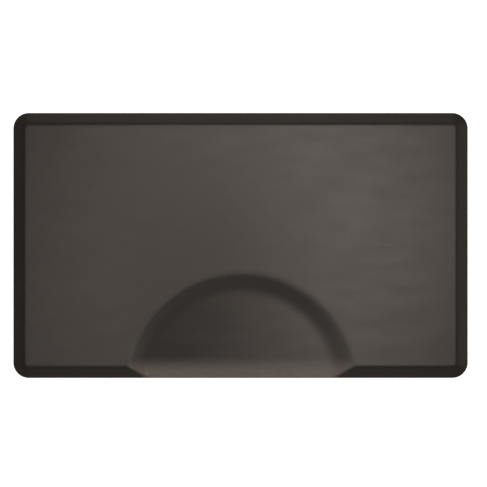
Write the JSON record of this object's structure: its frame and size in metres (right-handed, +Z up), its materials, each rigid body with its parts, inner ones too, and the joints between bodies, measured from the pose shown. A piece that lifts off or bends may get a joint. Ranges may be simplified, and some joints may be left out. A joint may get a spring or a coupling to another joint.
{
  "type": "anti-fatigue floor mat",
  "caption": "Rectangular cushioned floor mat with rounded corners, bevelled edges and a half-round chair-base recess open at one long side.",
  "frame": {"origin": "centre of the mat's underside, on the floor it lies on", "axes": "+X along the long side, +Y from the side with the chair recess to the plain long side, +Z up through the thickness"},
  "size_m": [1.524, 0.889, 0.022],
  "materials": {
    "wear_skin": "satin",
    "soft_foam": "matte",
    "firm_foam": "matte",
    "backing_rubber": "matte"
  },
  "bodies": {
    "root": {"top_skin": "wear_skin", "comfort_foam": "soft_foam", "support_foam": "firm_foam", "grip_backing": "backing_rubber"}
  },
  "joints": []
}
